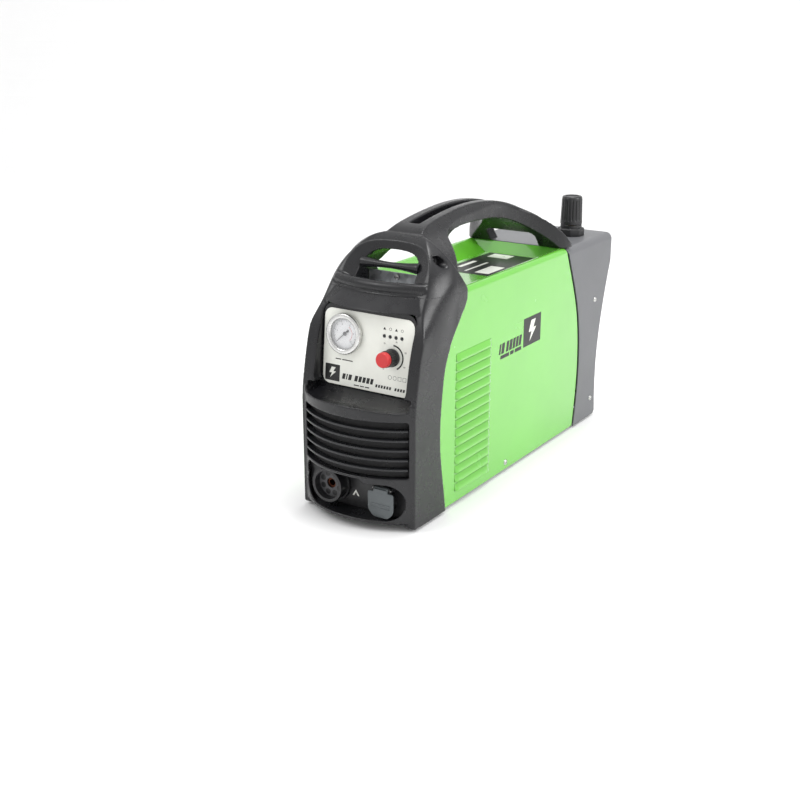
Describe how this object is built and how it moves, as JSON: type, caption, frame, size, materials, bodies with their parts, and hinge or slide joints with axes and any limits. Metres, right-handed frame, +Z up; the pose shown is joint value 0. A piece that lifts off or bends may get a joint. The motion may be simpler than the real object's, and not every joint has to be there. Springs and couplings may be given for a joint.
{
  "type": "plasma cutter unit",
  "caption": "Portable inverter plasma cutter: green steel case, moulded front with carry handle, control panel, torch and earth sockets, rear air regulator.",
  "frame": {"origin": "centre of the bounding box at floor level, under the rubber feet", "axes": "+Z up, -Y the front with the control panel and sockets, +X the right-hand side seen from the front, +Y the rear with the fan and mains switch"},
  "size_m": [0.158, 0.541, 0.3377],
  "materials": {
    "frame_plastic": "satin moulded, fine grain",
    "grille_plastic": "satin moulded",
    "black_plastic": "satin moulded",
    "galvanised_steel": "spangled zinc",
    "foot_rubber": "matt",
    "green_paint": "gloss powder coat",
    "grey_paint": "satin powder coat",
    "overlay_film": "satin printed film",
    "gauge_chrome": "satin chrome",
    "dial_white": "satin print",
    "pointer_black": "satin",
    "clear_lens": "clear",
    "knob_black": "semi-gloss",
    "knob_red": "satin",
    "lamp_lens": "gloss",
    "zinc_fittings": "die-cast",
    "circuit_board": "solder mask",
    "brass_fittings": "machined",
    "copper_tube": "drawn copper",
    "flap_grey": "satin moulded",
    "clear_bowl": "clear polycarbonate",
    "bright_screws": "bright zinc plate",
    "rocker_red": "gloss",
    "air_hose": "smooth polyurethane",
    "insulator": "fibreglass laminate",
    "aluminium_sink": "extruded",
    "capacitor_sleeve": "shrink sleeve",
    "ferrite": "sintered",
    "copper_winding": "enamelled wire"
  },
  "bodies": {
    "chassis": {"air_inlet": "brass_fittings", "base_tray": "galvanised_steel", "bulkhead": "galvanised_steel", "cable_gland": "black_plastic", "capacitors": "capacitor_sleeve", "case_screws": "bright_screws", "closing_plate": "galvanised_steel", "control_board": "circuit_board", "control_panel": "black_plastic", "cross_bar": "frame_plastic", "earth_contact": "brass_fittings", "earth_socket": "black_plastic", "fan_frame": "black_plastic", "fan_guard": "bright_screws", "filter_bowl": "clear_bowl", "flap_bracket": "black_plastic", "flap_pin": "bright_screws", "front_bezel": "frame_plastic", "front_grille": "grille_plastic", "gauge_bezel": "gauge_chrome", "gauge_case": "black_plastic", "gauge_dial": "dial_white", "gauge_hose": "air_hose", "gauge_lens": "clear_lens", "heat_sink": "aluminium_sink", "indicator_lamps": "lamp_lens", "inlet_hose": "air_hose", "outlet_hose": "air_hose", "output_choke": "copper_winding", "panel_overlay": "overlay_film", "potentiometer": "zinc_fittings", "power_board": "circuit_board", "power_modules": "black_plastic", "power_supports": "insulator", "rear_box": "grey_paint", "rear_panel": "grey_paint", "regulator_body": "zinc_fittings", "regulator_nut": "black_plastic", "rubber_feet": "foot_rubber", "socket_panel": "black_plastic", "solenoid_body": "brass_fittings", "solenoid_coil": "black_plastic", "steel_cover": "green_paint", "switch_housing": "black_plastic", "top_handle": "frame_plastic", "torch_contacts": "brass_fittings", "torch_gas_tube": "copper_tube", "torch_hose": "air_hose", "torch_socket": "black_plastic", "transformer_core": "ferrite", "transformer_winding": "copper_winding"},
    "gauge_needle": {"gauge_pointer": "pointer_black"},
    "current_dial": {"current_knob": "knob_black", "knob_cap": "knob_red"},
    "regulator_stem": {"regulator_screw": "brass_fittings"},
    "regulator_cap": {"regulator_knob": "knob_black"},
    "flap": {"earth_flap": "flap_grey"},
    "rocker": {"switch_rocker": "rocker_red"},
    "fan": {"fan_rotor": "black_plastic"},
    "plunger": {"solenoid_plunger": "zinc_fittings"}
  },
  "joints": [
    {"name": "gauge_needle_turn", "type": "hinge", "parent": "chassis", "child": "gauge_needle", "pos_m": [-0.0313, -0.21999, 0.21241], "axis": [0, 0.9954, -0.0958], "range_deg": [0, 270], "stiffness_Nm_per_rad": 0.00002},
    {"name": "current_knob_turn", "type": "hinge", "parent": "chassis", "child": "current_dial", "pos_m": [0.0336, -0.22169, 0.19479], "axis": [0, 0.9954, -0.0958], "range_deg": [0, 270]},
    {"name": "regulator_knob_turn", "type": "hinge", "parent": "chassis", "child": "regulator_stem", "pos_m": [0.035, 0.2235, 0.27], "axis": [0, 0, 1], "range_deg": [-540, 540]},
    {"name": "regulator_knob_pull", "type": "slide", "parent": "regulator_stem", "child": "regulator_cap", "axis": [0, 0, 1], "range_m": [0, 0.004]},
    {"name": "earth_flap_swing", "type": "hinge", "parent": "chassis", "child": "flap", "pos_m": [0.04, -0.253, 0.0485], "axis": [-1, 0, 0], "range_deg": [0, 95]},
    {"name": "mains_rocker_tilt", "type": "hinge", "parent": "chassis", "child": "rocker", "pos_m": [-0.038, 0.25381, 0.16549], "axis": [-1, 0, 0], "range_deg": [0, 20]},
    {"name": "fan_spin", "type": "hinge", "parent": "chassis", "child": "fan", "pos_m": [-0.026, 0.2255, 0.047], "axis": [0, 1, 0], "continuous": true},
    {"name": "solenoid_plunger_lift", "type": "slide", "parent": "chassis", "child": "plunger", "axis": [0, 0, 1], "range_m": [0, 0.002], "stiffness_N_per_m": 400}
  ]
}
